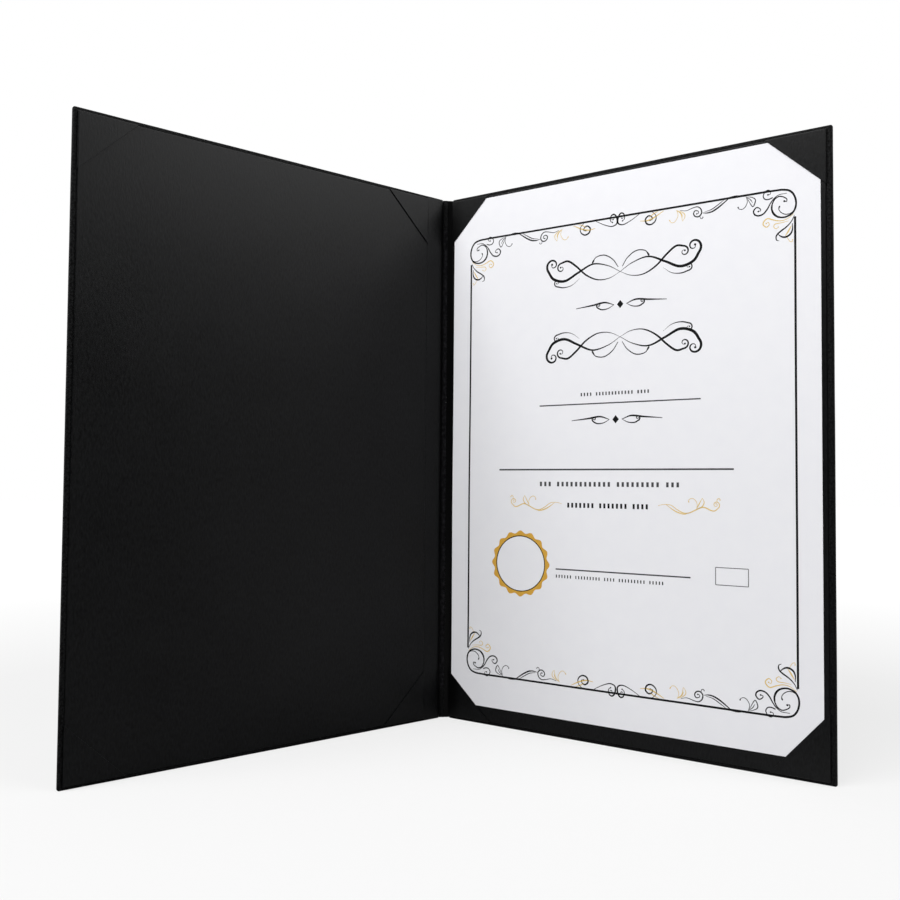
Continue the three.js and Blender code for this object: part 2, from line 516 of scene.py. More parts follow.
@dataclass(frozen=True)
class Leatherette(Finish):
    """Black coated cloth with a pebbled grain."""

    dark: Colour = (0.0006, 0.0006, 0.0007, 1.0)
    light: Colour = (0.0096, 0.0101, 0.0106, 1.0)
    pebbles_per_mm: float = 1.05
    pores_per_mm: float = 5.5
    tones_per_mm: float = 0.035
    depth: float = 0.12 * MM
    rough: float = 0.36
    gloss: float = 0.07

    def mix(self, recipe: Recipe) -> None:
        """Lays out pebbles with fine pores between them, and slow changes of tone.

        Args:
            recipe: The material's nodes.
        """
        flat = recipe.flat()
        pebble = recipe.node(
            "ShaderNodeTexVoronoi",
            {"voronoi_dimensions": "2D", "feature": "SMOOTH_F1"},
            {"Vector": flat, "Scale": self.pebbles_per_mm, "Smoothness": 0.6},
            "Distance",
        )
        pores = recipe.noise(flat, self.pores_per_mm)
        tone = recipe.noise(flat, self.tones_per_mm, 3.0)
        recipe.surface(
            recipe.mixed((0.5 - pebble) * 1.4 + tone * 0.3, self.dark, self.light),
            pebble * 0.4 + tone * 0.08 + self.rough,
            self.gloss,
            recipe.bumped((1.0 - pebble) * 0.8 + pores * 0.35, self.depth),
        )


@dataclass(frozen=True)
class LeatherPaper(Finish):
    """Black paper with a fine pressed cross grain."""

    dark: Colour = (0.0002, 0.0002, 0.0003, 1.0)
    light: Colour = (0.0075, 0.0080, 0.0085, 1.0)
    # painted shade: the darker colour given to the paper beside the fold, where shade falls
    fold: Colour = (0.0004, 0.0004, 0.0005, 1.0)
    turn: float = 0.0
    lean: float = 45.0
    threads_per_mm: float = 1.15
    thread_length: float = 0.35
    tones_per_mm: float = 0.03
    depth: float = 0.05 * MM
    rough: float = 0.25
    gloss: float = 0.13
    # painted shade: distances from the fold, in millimetres, over which the darker colour fades out
    dull_range: Point = (4.4, 11.0)

    def mix(self, recipe: Recipe) -> None:
        """Lays out two crossing sets of short ridges, slow changes of tone and painted shade that darkens the paper
        beside the fold.

        Args:
            recipe: The material's nodes.
        """
        flat = recipe.flat()
        stretch = (self.threads_per_mm, self.threads_per_mm * self.thread_length, 1.0)
        across, along = (
            recipe.noise(recipe.turned(flat, self.turn + lean, stretch), 1.0) for lean in (self.lean, -self.lean)
        )
        grain = across.larger(along)
        tone = recipe.noise(flat, self.tones_per_mm, 3.0)
        across_fold = recipe.node("ShaderNodeSeparateXYZ", None, {0: flat}, "X")
        from_fold = recipe.node("ShaderNodeMath", {"operation": "ABSOLUTE"}, {0: across_fold})
        # painted shade: darker near the fold, clearing further from it
        clear = recipe.ramp(from_fold, self.dull_range, soft=True)
        plain = recipe.mixed(tone * 0.3 + (grain - 0.4) * 1.7, self.dark, self.light)
        recipe.surface(
            recipe.mixed(clear, self.fold, plain),
            grain * 0.12 + tone * 0.06 + self.rough,
            self.gloss,
            recipe.bumped(grain, self.depth),
        )


@dataclass(frozen=True)
class LiningCloth(Finish):
    """Rough black lining with a coarse thread."""

    dark: Colour = (0.0006, 0.0006, 0.0008, 1.0)
    light: Colour = (0.0235, 0.0230, 0.0258, 1.0)
    threads_per_mm: float = 1.6
    fibres_per_mm: float = 3.0
    tufts_per_mm: float = 0.55
    depth: float = 0.12 * MM
    rough: float = 0.85
    gloss: float = 0.03

    def mix(self, recipe: Recipe) -> None:
        """Lays out crossing threads with loose fibres and worn tufts.

        Args:
            recipe: The material's nodes.
        """
        flat = recipe.flat()
        weft, warp = (
            recipe.node(
                "ShaderNodeTexWave",
                {"wave_type": "BANDS", "wave_profile": "SIN", "bands_direction": "X"},
                {"Vector": spot, "Scale": self.threads_per_mm / WAVE_BANDS, "Distortion": 1.2},
                "Fac",
            )
            for spot in (recipe.turned(flat, 90.0, (1.0, 1.0, 1.0)), flat)
        )
        fibres = recipe.noise(flat, self.fibres_per_mm, 4.0)
        tufts = recipe.noise(flat, self.tufts_per_mm, 3.0)
        thread = weft.larger(warp) * 0.6 + fibres * 0.4
        colour = recipe.mixed(thread * (tufts * 1.6) ** 3.0, self.dark, self.light)
        recipe.surface(colour, self.rough, self.gloss, recipe.bumped(thread, self.depth))


@dataclass(frozen=True)
class Greyboard(Finish):
    """Grey bookbinding board."""

    dark: Colour = (0.18, 0.17, 0.15, 1.0)
    light: Colour = (0.33, 0.31, 0.27, 1.0)
    depth: float = 0.05 * MM
    rough: float = 0.9
    gloss: float = 0.5

    def mix(self, recipe: Recipe) -> None:
        """Lays out pressed fibres and specks.

        Args:
            recipe: The material's nodes.
        """
        spot = recipe.place("Object")
        fibres = recipe.noise(recipe.turned(spot, 20.0, (900.0, 300.0, 300.0)), 1.0, 4.0)
        specks = recipe.noise(spot, 1800.0)
        colour = recipe.mixed(fibres * 0.7 + specks * 0.3, self.dark, self.light)
        recipe.surface(colour, self.rough, self.gloss, recipe.bumped(fibres, self.depth))


@dataclass(frozen=True)
class SheetPaper(Finish):
    """Smooth white paper, a little cool."""

    cool: Colour = (0.80, 0.80, 0.84, 1.0)
    clean: Colour = (0.86, 0.86, 0.88, 1.0)
    clouds_per_mm: float = 0.12
    depth: float = 0.01 * MM
    rough: float = 0.5
    gloss: float = 0.3

    def mix(self, recipe: Recipe) -> None:
        """Lays out faint fibres and cloudy formation.

        Args:
            recipe: The material's nodes.
        """
        flat = recipe.flat()
        cloud = recipe.noise(flat, self.clouds_per_mm, 3.0)
        fibres = recipe.noise(recipe.turned(flat, 8.0, (3.2, 1.1, 1.0)), 1.0, 3.0)
        colour = recipe.mixed(cloud * 0.6 + fibres * 0.4, self.cool, self.clean)
        recipe.surface(colour, fibres * 0.12 + self.rough, self.gloss, recipe.bumped(fibres, self.depth))


@dataclass(frozen=True)
class Ink(Finish):
    """Printing ink that soaks a little into the paper."""

    full: Colour = (0.003, 0.003, 0.0033, 1.0)
    thin: Colour = (0.011, 0.011, 0.012, 1.0)
    fibres_per_mm: float = 2.4
    clouds_per_mm: float = 0.25
    rough: float = 0.45
    gloss: float = 0.06

    def mix(self, recipe: Recipe) -> None:
        """Lays out ink that is thinner where the paper's fibres show.

        Args:
            recipe: The material's nodes.
        """
        flat = recipe.flat()
        fibres = recipe.noise(flat, self.fibres_per_mm, 3.0)
        cloud = recipe.noise(flat, self.clouds_per_mm)
        colour = recipe.mixed(fibres * 0.5 + cloud * 0.5, self.full, self.thin)
        recipe.surface(colour, fibres * 0.15 + self.rough, self.gloss)


LEATHERETTE = Leatherette("black_leatherette")
LEATHER_PAPER = LeatherPaper("black_leather_paper")
POCKET_PAPER = LeatherPaper("black_pocket_paper", turn=30.0)
LINING_CLOTH = LiningCloth("rough_lining_cloth")
GREYBOARD = Greyboard("greyboard")
SHEET_PAPER = SheetPaper("white_sheet_paper")
BLACK_INK = Ink("black_ink")
GREY_INK = Ink("grey_ink", full=(0.045, 0.045, 0.047, 1.0), thin=(0.085, 0.085, 0.09, 1.0))
GOLD_INK = Ink("gold_ink", full=(0.64, 0.43, 0.11, 1.0), thin=(0.78, 0.60, 0.26, 1.0))
SEAL_INK = Ink("seal_gold_ink", full=(0.56, 0.29, 0.035, 1.0), thin=(0.72, 0.43, 0.08, 1.0))


@dataclass(frozen=True)
class Stack:
    """The folder's layers and lines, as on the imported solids. Depth counts inwards from a hinge's line."""

    spine_width: float = 7.82 * MM
    hinge_depth: float = 65.756 * MM
    open_turn: float = math.radians(36.75)
    cover_width: float = 217.0 * MM
    cover_height: float = 309.5 * MM
    leather: float = 0.4 * MM
    turn_in_top: float = 2.52 * MM
    liner_bottom: float = 2.58 * MM
    facing_top: float = 3.19 * MM
    sheet_bottom: float = 3.25 * MM
    sheet_thickness: float = 0.2 * MM
    pocket_top: float = 3.76 * MM
    pocket_thickness: float = 0.25 * MM
    margin: float = 1.9 * MM
    hinge_setback: float = 0.95 * MM
    front_setback: float = 12.7 * MM
    liner_play: float = 0.31 * MM

    @property
    def head_line(self) -> float:
        """The liner's and pockets' outer line at the head."""
        return self.cover_height - self.margin

    def hinge(self, side: Side) -> Vector:
        """Gives the foot of a cover's hinge line."""
        return Vector((side.value * self.spine_width / 2, self.hinge_depth, 0.0))

    def turn(self, side: Side) -> float:
        """Gives a cover's turn from flat."""
        return -side.value * self.open_turn

    def spot(self, side: Side, along: float, depth: float, up: float) -> Vector:
        """Gives a cover's place in the frame.

        Args:
            side: The cover.
            along: The distance from the hinge line.
            depth: The distance inwards from the hinge's plane.
            up: The height.

        Returns:
            The point in the frame.
        """
        bench = Vector((side.value * along, -depth, up))
        return self.hinge(side) + Matrix.Rotation(self.turn(side), 3, "Z") @ bench

    def unrolled(self, side: Side, spot: Vector) -> Point:
        """Gives a point's place on the flat material of a cover and its half of the spine.

        Args:
            side: The cover.
            spot: The point in the frame.

        Returns:
            Its place in millimetres.
        """
        bench = Matrix.Rotation(-self.turn(side), 3, "Z") @ (spot - self.hinge(side))
        along = bench.x * side.value
        if along < 0.0:
            along = abs(spot.x) - self.spine_width / 2
        return ((side.value * (along + self.spine_width / 2) + bench.y) / MM, (bench.z + bench.y) / MM)


STACK = Stack()
GROOVE_LINE = ((0.78, 2.0), (0.76, 1.4), (0.74, 0.9), (0.64, 0.56), (0.42, 0.37))
FRONT_SLOPE = (
    (13.0, 3.06), (9.0, 3.06), (6.0, 3.03), (4.0, 2.98), (2.6, 2.89), (1.6, 2.77), (1.1, 2.62), (0.86, 2.4),
)
BACK_SLOPE = ((6.0, 2.42), (2.6, 2.42), (1.7, 2.4), (1.1, 2.3), (0.86, 2.15))


@dataclass
class Group:
    """A sub-assembly, whose pieces are mapped, dressed and named in one way."""

    pieces: list[Piece] = field(init=False, default_factory=list)

    def flat(self, spot: Vector) -> Point:
        """Gives a point's place on the flat material, in millimetres."""
        raise NotImplementedError

    def keep(
        self, bench: Bench, finish: Finish, slot: str, *nodes: str, body: str = "", crisp: float = CRISP
    ) -> Piece:
        """Dresses a piece and hides the solids that it stands for.

        Args:
            bench: The bench that holds it.
            finish: Its finish.
            slot: The record's material slot; it is not used.
            *nodes: The solids that it stands for.
            body: The frame's body that it rides on, or empty for none.
            crisp: Edges sharper than this, in degrees, stay crisp.

        Returns:
            The piece.
        """
        bench.map_grain(self.flat)
        piece = bench.dress(finish, crisp)
        if body:
            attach(piece, body)
        if nodes:
            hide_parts(*nodes)
        self.pieces.append(piece)
        return piece


@dataclass
class Pocket:
    """One corner pocket: a triangle of paper folded round the liner's corner."""

    name: str
    corner: Point
    inward: tuple[int, int]
    legs: Point
    fold_radius: float = 0.18 * MM
    edge_round: float = 0.07 * MM

    def build(self, side: Side) -> Bench:
        """Folds the pocket.

        Args:
            side: The cover that it is on.

        Returns:
            The bench that holds it.
        """
        half = STACK.pocket_thickness / 2
        depth = -(STACK.pocket_top - half)
        start = [self.corner[i] + self.inward[i] * half for i in (0, 1)]
        stop = [self.corner[i] + self.inward[i] * self.legs[i] for i in (0, 1)]
        ends = [sorted((side.value * start[0], side.value * stop[0])), sorted((start[1], stop[1]))]
        bench = Bench.rectangle(self.name, (ends[0][0], ends[1][0]), (ends[0][1], ends[1][1]), depth)
        outer = (side.value * start[0], start[1])
        diagonal = Vector((side.value * (stop[0] - self.corner[0]), 0.0, self.corner[1] - stop[1]))
        beyond = diagonal.cross(Axis.THROUGH.value)
        if beyond.x * side.value * self.inward[0] < 0.0:
            beyond.negate()

        def on_fold(edge: Edge) -> bool:
            """Tells whether an edge is on one of the two lines where the paper folds."""
            return close(middle(edge).x, outer[0]) or close(middle(edge).z, outer[1])

        with bench.editing():
            bench.cut_away(Vector((side.value * self.corner[0], depth, stop[1])), beyond)
            bench.pick(Part.EDGE, on_fold)
            bench.extrude((0.0, -depth - STACK.liner_bottom - half, 0.0))
            bench.pick(Part.EDGE, lambda edge: not edge.is_boundary and on_fold(edge))
            bench.round_off(self.fold_radius, steps=4)
            edge = [start[i] + self.inward[i] * self.fold_radius * 2.0 for i in (0, 1)]
            bench.divide(Axis.ALONG, [side.value * edge[0]])
            bench.divide(Axis.UP, [edge[1]])
        bench.thicken(STACK.pocket_thickness)
        bench.modify("BEVEL", width=self.edge_round, segments=2, limit_method="ANGLE", angle_limit=math.radians(60.0))
        return bench


@dataclass
class Cover(Group):
    """One cover: leatherette round the board, the lining beside its fold, the covered card and its pockets."""

    side: Side
    card_start: float
    fore_margin: float
    pocket_legs: dict[str, Point]
    lining_slope: tuple[Point, ...]
    turn_in: float = 15.0 * MM
    edge_radius: float = 0.7 * MM
    edge_room: float = 0.2 * MM
    column: float = 6.0 * MM
    columns: int = 36
    rows: int = 50
    leather_swell: Point = (0.09 * MM, 22.0 * MM)
    hinge_reach: float = 0.2 * MM
    shortest_row: float = 0.5 * MM
    bend_reach: float = 0.9 * MM
    spine_shares: Point = (0.55, 0.45)
    lining_inset: float = 0.5 * MM
    lining_rows: int = 24
    lining_thickness: float = 0.15 * MM
    lining_bend: float = 0.6 * MM
    spine_level: float = 0.34 * MM
    spine_stops: tuple[float, ...] = (3.3, 2.6, 1.4, 0.1)
    card_round: float = 0.24 * MM
    card_cells: tuple[int, int] = (26, 36)
    card_swell: Point = (0.04 * MM, 18.0 * MM)
    pocket_crisp: float = 12.0

    @property
    def fore_line(self) -> float:
        """The card's and pockets' outer line at the fore edge."""
        return STACK.cover_width - self.fore_margin

    def build(self) -> None:
        """Builds and dresses the cover's pieces."""
        self._wrap()
        self._lining()
        self._card()
        self._pockets()
        self._board()

    def flat(self, spot: Vector) -> Point:
        """Gives a point's place on the cover's flat material, in millimetres."""
        return STACK.unrolled(self.side, spot)

    def _name(self, piece: str) -> str:
        """Gives a piece's name on this cover."""
        return f"{self.side.label}_{piece}"

    def _bend(self, piece: Piece, reach: float) -> None:
        """Bakes a piece's place into its mesh; the piece is not bent between the cover and the spine.

        Args:
            piece: The piece.
            reach: How far from the hinge line, on each side of it, two points are worked out.
        """
        half_height = STACK.cover_height / 2
        start = STACK.spot(self.side, reach, 0.0, half_height)
        end = STACK.spot(self.side, -reach, 0.0, half_height)
        self.side.body
        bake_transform(piece)

    def _put(self, bench: Bench) -> None:
        """Puts a piece from the bench on its cover."""
        bench.place(STACK.turn(self.side), STACK.hinge(self.side))

    def _tray(self) -> Bench:
        """Folds the leatherette's flat sheet up round the board's edges and in over it.

        Returns:
            The bench that holds it.
        """
        half = STACK.leather / 2
        sign = self.side.value
        fore = sign * (STACK.cover_width - half)
        low, high = half, STACK.cover_height - half
        wall_start = STACK.hinge_setback
        ends = sorted((0.0, fore))
        bench = Bench.rectangle(self._name("leatherette"), (ends[0], low), (ends[1], high), 0.0)

        def on_edge(edge: Edge) -> bool:
            """Tells whether an edge is on the fore edge, head or tail."""
            spot = middle(edge)
            return abs(spot.x) > wall_start and (close(spot.x, fore) or close(spot.z, low) or close(spot.z, high))

        with bench.editing():
            bench.divide(Axis.ALONG, [sign * wall_start])
            bench.pick(Part.EDGE, lambda edge: edge.is_boundary and on_edge(edge))
            bench.extrude((0.0, half - STACK.turn_in_top, 0.0))
            bench.extrude((0.0, 0.0, 0.0))
            flap = bench.picked_points()
            for index, line, way in ((2, high, -1), (2, low, 1), (0, fore, -sign)):
                bench.pick(Part.POINT, lambda point: point.index in flap and close(point.co[index], line))
                step = Vector()
                step[index] = way * self.turn_in
                bench.shift(step)
            bench.pick(Part.EDGE, lambda edge: not edge.is_boundary and on_edge(edge))
            bench.round_off(self.edge_radius, steps=4)
            edge = half + self.edge_radius + self.edge_room
            steps = [wall_start + self.column * count for count in range(1, self.columns)]
            bench.divide(Axis.ALONG, [sign * step for step in (*steps, STACK.cover_width - edge)])
            rows = evenly(0.0, STACK.cover_height, self.rows)
            bench.divide(Axis.UP, [edge, *rows, STACK.cover_height - edge])
        return bench

    def _wrap(self) -> None:
        """Wraps the board in leatherette and carries it over half the spine."""
        bench = self._tray()
        bench.uneven(*self.leather_swell)
        self._put(bench)
        hinge = STACK.hinge(self.side)

        def at_hinge(edge: Edge) -> bool:
            """Tells whether an edge is on the hinge's line."""
            away = middle(edge) - hinge
            return max(abs(away.x), abs(away.y)) < self.hinge_reach

        def upright(edge: Edge) -> bool:
            """Tells whether an edge runs up the cover."""
            return abs(edge.verts[0].co.z - edge.verts[1].co.z) > self.shortest_row

        with bench.editing():
            bench.pick(Part.EDGE, lambda edge: edge.is_boundary and at_hinge(edge))
            for share in self.spine_shares:
                bench.extrude((-hinge.x * share, 0.0, 0.0))
            bench.pick(Part.EDGE, lambda edge: not edge.is_boundary and at_hinge(edge) and upright(edge))
            bench.round_off(self.bend_reach, steps=8)
        bench.thicken(STACK.leather)
        nodes = [self._name("wrap")] + (["spine_wrap"] if self.side is Side.BACK else [])
        self._bend(self.keep(bench, LEATHERETTE, "leatherette", *nodes), self.bend_reach)

    def _lining(self) -> None:
        """Lays the lining beside the fold, over the board's edge and into the groove."""
        sign = self.side.value
        low, high = self.lining_inset, STACK.cover_height - self.lining_inset
        start, here, *drop = (*self.lining_slope, *GROOVE_LINE)
        ends = sorted((sign * start[0] * MM, sign * here[0] * MM))
        bench = Bench.rectangle(self._name("fold_lining"), (ends[0], low), (ends[1], high), -start[1] * MM)
        with bench.editing():
            bench.pick(Part.EDGE, lambda edge: close(middle(edge).x, sign * here[0] * MM))
            for along, depth in drop:
                bench.extrude((sign * (along - here[0]) * MM, (here[1] - depth) * MM, 0.0))
                here = (along, depth)
            bench.divide(Axis.UP, evenly(0.0, STACK.cover_height, self.lining_rows))
        self._put(bench)
        reach = STACK.spot(self.side, here[0] * MM, here[1] * MM, 0.0)

        def at_end(edge: Edge) -> bool:
            """Tells whether an edge is where the lining ends on the cover."""
            return close(middle(edge).x, reach.x) and close(middle(edge).y, reach.y)

        with bench.editing():
            bench.pick(Part.EDGE, lambda edge: edge.is_boundary and at_end(edge))
            for across in self.spine_stops:
                stop = Vector((sign * across * MM, STACK.hinge_depth - self.spine_level, 0.0))
                bench.extrude(stop - reach)
                reach = stop
        bench.thicken(self.lining_thickness)
        nodes = ["front_hinge_lining"] if self.side is Side.FRONT else []
        self._bend(self.keep(bench, LEATHER_PAPER, "leather_paper", *nodes), self.lining_bend)

    def _card(self) -> None:
        """Makes the card that is covered with leather-grained paper."""
        sign = self.side.value
        inset = STACK.liner_play
        ends = sorted((sign * (self.card_start + inset), sign * (self.fore_line - inset)))
        low = Vector((ends[0], -STACK.facing_top, STACK.margin + inset))
        high = Vector((ends[1], -STACK.liner_bottom, STACK.head_line - inset))
        bench = Bench.block(self._name("covered_card"), low, high)
        columns, rows = self.card_cells
        with bench.editing():
            bench.pick(Part.EDGE, lambda edge: middle(edge).y < -STACK.liner_bottom - NEAR)
            bench.round_off(self.card_round, steps=3)
            edge = self.card_round * 2.0
            bench.divide(Axis.ALONG, [ends[0] + edge, *evenly(*ends, columns), ends[1] - edge])
            bench.divide(Axis.UP, [low.z + edge, *evenly(0.0, STACK.cover_height, rows), high.z - edge])
        bench.uneven(*self.card_swell)
        self._put(bench)
        nodes = [self._name("liner"), self._name("facing")]
        self.keep(bench, LEATHER_PAPER, "leather_paper", *nodes, body=self.side.body)

    def _pockets(self) -> None:
        """Folds the four corner pockets."""
        for end, height, down in (("head", STACK.head_line, -1), ("tail", STACK.margin, 1)):
            for edge, along, inward in (("hinge", self.card_start, 1), ("fore", self.fore_line, -1)):
                place = f"{end}_{edge}"
                name = self._name(f"corner_pocket_{place}")
                pocket = Pocket(name, (along, height), (inward, down), self.pocket_legs[place])
                bench = pocket.build(self.side)
                self._put(bench)
                node = self._name(f"pocket_{place}")
                self.keep(
                    bench, POCKET_PAPER, "pocket_paper", node, body=self.side.body, crisp=self.pocket_crisp
                )

    def _board(self) -> None:
        """Gives the board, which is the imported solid, its finish."""
        board = bpy.data.objects[self._name("board")]
        board.data.materials.clear()
        board.data.materials.append(GREYBOARD.material())


@dataclass
class Spine(Group):
    """The spine's inside: the rough strip in the fold and the leatherette turned in over its ends."""

    strip_middle: float = -1.4 * MM
    strip_width: float = 2.8 * MM
    strip_top: float = 0.56 * MM
    strip_bottom: float = 0.26 * MM
    strip_overlap: float = 1.0 * MM
    strip_round: float = 0.1 * MM
    strip_cells: tuple[int, int] = (8, 240)
    strip_swell: Point = (0.16 * MM, 1.1 * MM)
    turn_in: float = 17.5 * MM
    flap_width: float = 2.9 * MM
    flap_depth: float = 0.62 * MM
    flap_tuck: float = 0.8 * MM
    flap_round: float = 0.25 * MM
    flap_rows: int = 5
    flap_thickness: float = 0.3 * MM

    def build(self) -> None:
        """Builds and dresses the strip and the two turned-in ends."""
        self._strip()
        self._tail_flap(self._head_flap())

    def flat(self, spot: Vector) -> Point:
        """Gives a point's place on the spine's flat material, in millimetres."""
        return (spot.x / MM, (spot.z + spot.y) / MM)

    def _strip(self) -> None:
        """Lays the rough strip between the turned-in ends."""
        half = self.strip_width / 2
        left, right = self.strip_middle - half, self.strip_middle + half
        foot = self.turn_in - self.strip_overlap
        low = Vector((left, STACK.hinge_depth - self.strip_top, foot))
        high = Vector((right, STACK.hinge_depth - self.strip_bottom, STACK.cover_height - foot))
        bench = Bench.block("spine_strip", low, high)
        columns, rows = self.strip_cells
        with bench.editing():
            bench.pick(Part.EDGE, lambda edge: middle(edge).y < high.y - NEAR)
            bench.round_off(self.strip_round, steps=2)
            bench.divide(Axis.ALONG, evenly(left, right, columns))
            bench.divide(Axis.UP, evenly(low.z, high.z, rows))
        bench.uneven(*self.strip_swell)
        self.keep(bench, LINING_CLOTH, "lining_cloth", "spine_lining", body="spine")

    def _head_flap(self) -> Bench:
        """Folds the leatherette over the spine's head and down inside it.

        Returns:
            The bench that holds it.
        """
        half = self.flap_width / 2
        top = STACK.cover_height - self.flap_thickness / 2
        depth = STACK.hinge_depth - self.flap_depth
        left, right = self.strip_middle - half, self.strip_middle + half
        bench = Bench.rectangle("spine_turn_in_head", (left, top - self.turn_in), (right, top), depth)
        with bench.editing():
            bench.pick(Part.EDGE, lambda edge: close(middle(edge).z, top))
            bench.extrude((0.0, self.flap_depth, 0.0))
            bench.extrude((0.0, 0.0, -self.flap_tuck))
            bench.pick(Part.EDGE, lambda edge: not edge.is_boundary and close(middle(edge).z, top))
            bench.round_off(self.flap_round, steps=4)
            bench.divide(Axis.UP, evenly(top, top - self.turn_in, self.flap_rows))
        bench.thicken(self.flap_thickness)
        self.keep(bench, LEATHERETTE, "leatherette", body="spine")
        return bench

    def _tail_flap(self, head: Bench) -> None:
        """Copies the head's turned-in end to the tail, upside down, with its own mesh.

        Args:
            head: The bench that holds the head's end.
        """
        piece = head.piece.copy()
        piece.data = head.piece.data.copy()
        piece.name = piece.data.name = "spine_turn_in_tail"
        bpy.context.scene.collection.objects.link(piece)
        bench = Bench(piece)
        bench.hold()
        piece.parent = None
        piece.matrix_world = Matrix.Translation((0.0, 0.0, STACK.cover_height)) @ Matrix.Scale(-1.0, 4, Axis.UP.value)
        bench.settle()
        bench.face_out()
        self.keep(bench, LEATHERETTE, "leatherette", body="spine")


STEPS_IN_TURN = 36
FEWEST_STEPS = 8
DOT_STEPS = 10
RULE_STEP = 2.0  # millimetres, as the next two
HAIRLINE = 0.03
LOZENGE_TIP = 0.05
LOZENGE_BREADTH = 1.7  # in half heights


class Swell(Enum):
    """Where a pen stroke is broad."""

    BODY = 1
    START = 2
    KNOB = 3
    FINE = 4

    def at(self, share: float) -> float:
        """Gives the share of its width that a stroke has at a share of its length.

        Args:
            share: The share of the length.

        Returns:
            The share of the width.
        """
        body = math.sin(math.pi * share)
        if self is Swell.BODY:
            return 0.34 + 0.66 * body**1.2
        if self is Swell.START:
            return 1.0 - 0.6 * share**1.5
        if self is Swell.FINE:
            return 0.16 + 0.84 * body**1.5
        return 0.5 + 0.3 * body + 0.9 * math.exp(-(((share - 0.94) / 0.06) ** 2))


@dataclass(frozen=True)
class Curl:
    """The spiral that ends a stroke: its first and last radius in millimetres, its turns and its side."""

    radius: float
    eye: float
    turns: float
    side: int = -1


@dataclass(frozen=True)
class Stroke:
    """One pen stroke: the points that it passes, its width, its swell, its end dot's radius and its curl."""

    points: tuple[Point, ...]
    width: float
    swell: Swell = Swell.BODY
    dot: float = 0.0
    curl: Curl | None = None

    def path(self) -> list[Point]:
        """Draws the stroke.

        Returns:
            Its points, close together.
        """
        line = self._smooth(steps=12) if len(self.points) > 2 else list(self.points)
        if self.curl is not None:
            line += self._spiral(line)
        return line

    def _smooth(self, steps: int) -> list[Point]:
        """Draws a smooth line through the stroke's points.

        Args:
            steps: How many steps it takes from point to point.

        Returns:
            Its points.
        """
        known = [Vector(point) for point in self.points]
        known = [known[0] * 2 - known[1], *known, known[-1] * 2 - known[-2]]
        line: list[Point] = []
        for before, start, stop, after in zip(known, known[1:], known[2:], known[3:]):
            for index in range(steps):
                t = index / steps
                spot = 0.5 * (
                    2 * start
                    + (stop - before) * t
                    + (2 * before - 5 * start + 4 * stop - after) * t**2
                    + (3 * start - before - 3 * stop + after) * t**3
                )
                line.append((spot.x, spot.y))
        line.append(tuple(known[-2]))
        return line

    def _spiral(self, line: list[Point]) -> list[Point]:
        """Winds the stroke's end into its curl.

        Args:
            line: The stroke up to there.

        Returns:
            The curl's points.
        """
        curl = self.curl
        x, y = line[-1]
        heading = math.atan2(y - line[-2][1], x - line[-2][0])
        count = max(FEWEST_STEPS, round(curl.turns * STEPS_IN_TURN))
        turn = 2.0 * math.pi * curl.turns / count
        wound: list[Point] = []
        for index in range(count):
            radius = curl.radius * (curl.eye / curl.radius) ** (index / count)
            heading += curl.side * turn
            x += radius * turn * math.cos(heading)
            y += radius * turn * math.sin(heading)
            wound.append((x, y))
        return wound


